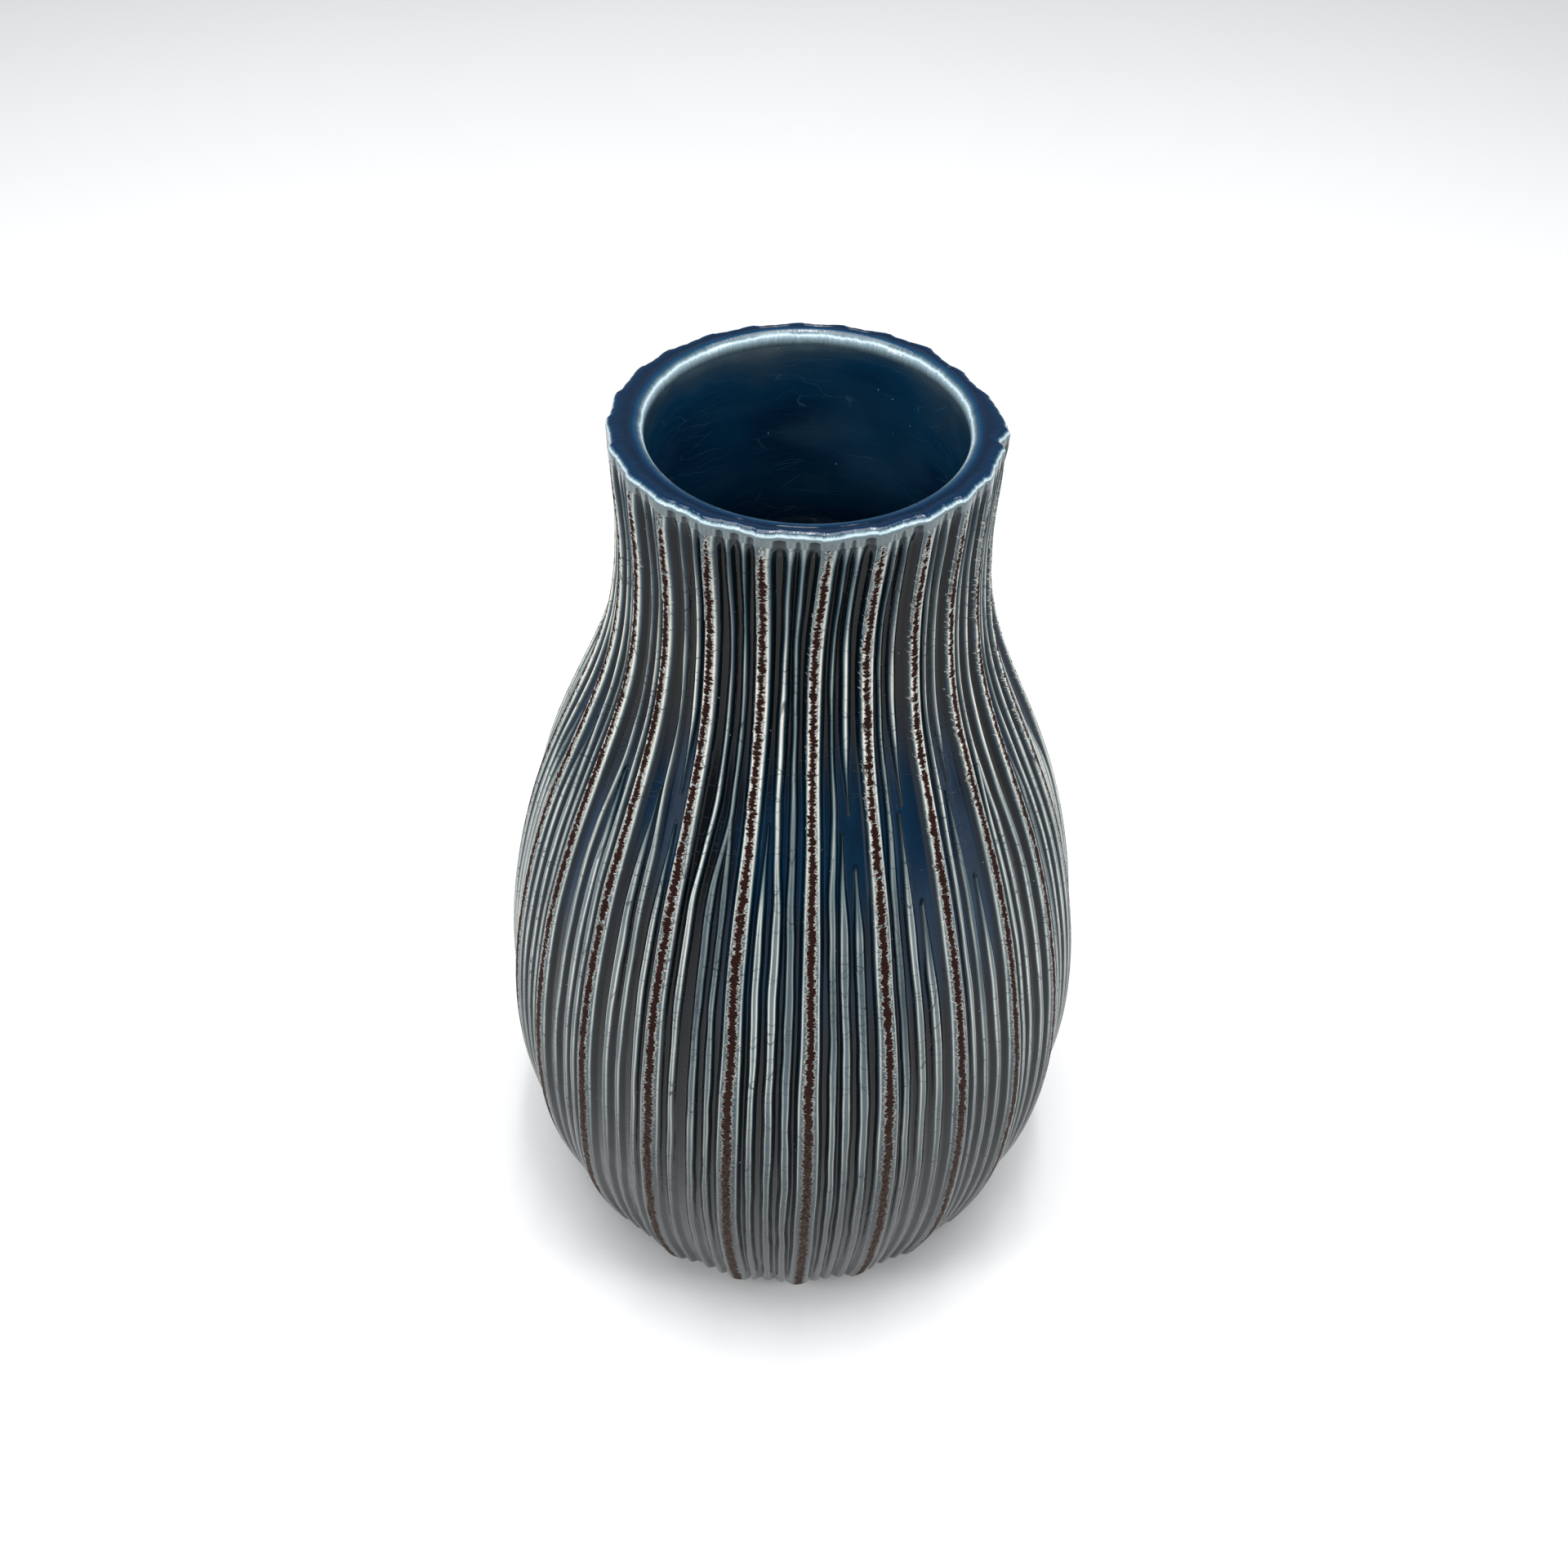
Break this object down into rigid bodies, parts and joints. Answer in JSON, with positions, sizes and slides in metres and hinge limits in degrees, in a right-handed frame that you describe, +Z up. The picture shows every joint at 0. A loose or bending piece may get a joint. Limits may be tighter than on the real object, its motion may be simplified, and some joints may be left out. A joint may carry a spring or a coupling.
{
  "type": "bud vase",
  "caption": "Fluted pear-shaped stoneware vase with an open neck, crackled blue glaze between bare clay crests, and a hollow inside that holds stems and water.",
  "frame": {"origin": "centre of the foot, on the plane that the vase stands on", "axes": "+Z up along the vase's axis, towards the mouth; -Y is the front, where a crest stands 4 degrees towards +X"},
  "size_m": [0.1116, 0.1116, 0.178],
  "materials": {
    "clay": "unglazed dark red-brown stoneware, dry and slightly rough",
    "flute_glaze": "glossy transparent blue, near black where it pools and grey-blue to cream where it is thin, finely crazed",
    "lip_glaze": "glossy deep navy, nearly white on both edges",
    "inner_glaze": "glossy dark teal, faintly crazed"
  },
  "bodies": {
    "root": {"clay_body": "clay", "inner_glaze": "inner_glaze", "lip_glaze": "lip_glaze", "glaze_panel_01": "flute_glaze", "glaze_panel_02": "flute_glaze", "glaze_panel_03": "flute_glaze", "glaze_panel_04": "flute_glaze", "glaze_panel_05": "flute_glaze", "glaze_panel_06": "flute_glaze", "glaze_panel_07": "flute_glaze", "glaze_panel_08": "flute_glaze", "glaze_panel_09": "flute_glaze", "glaze_panel_10": "flute_glaze", "glaze_panel_11": "flute_glaze", "glaze_panel_12": "flute_glaze", "glaze_panel_13": "flute_glaze", "glaze_panel_14": "flute_glaze", "glaze_panel_15": "flute_glaze", "glaze_panel_16": "flute_glaze", "glaze_panel_17": "flute_glaze", "glaze_panel_18": "flute_glaze", "glaze_panel_19": "flute_glaze", "glaze_panel_20": "flute_glaze", "glaze_panel_21": "flute_glaze", "glaze_panel_22": "flute_glaze", "glaze_panel_23": "flute_glaze", "glaze_panel_24": "flute_glaze"}
  },
  "joints": []
}
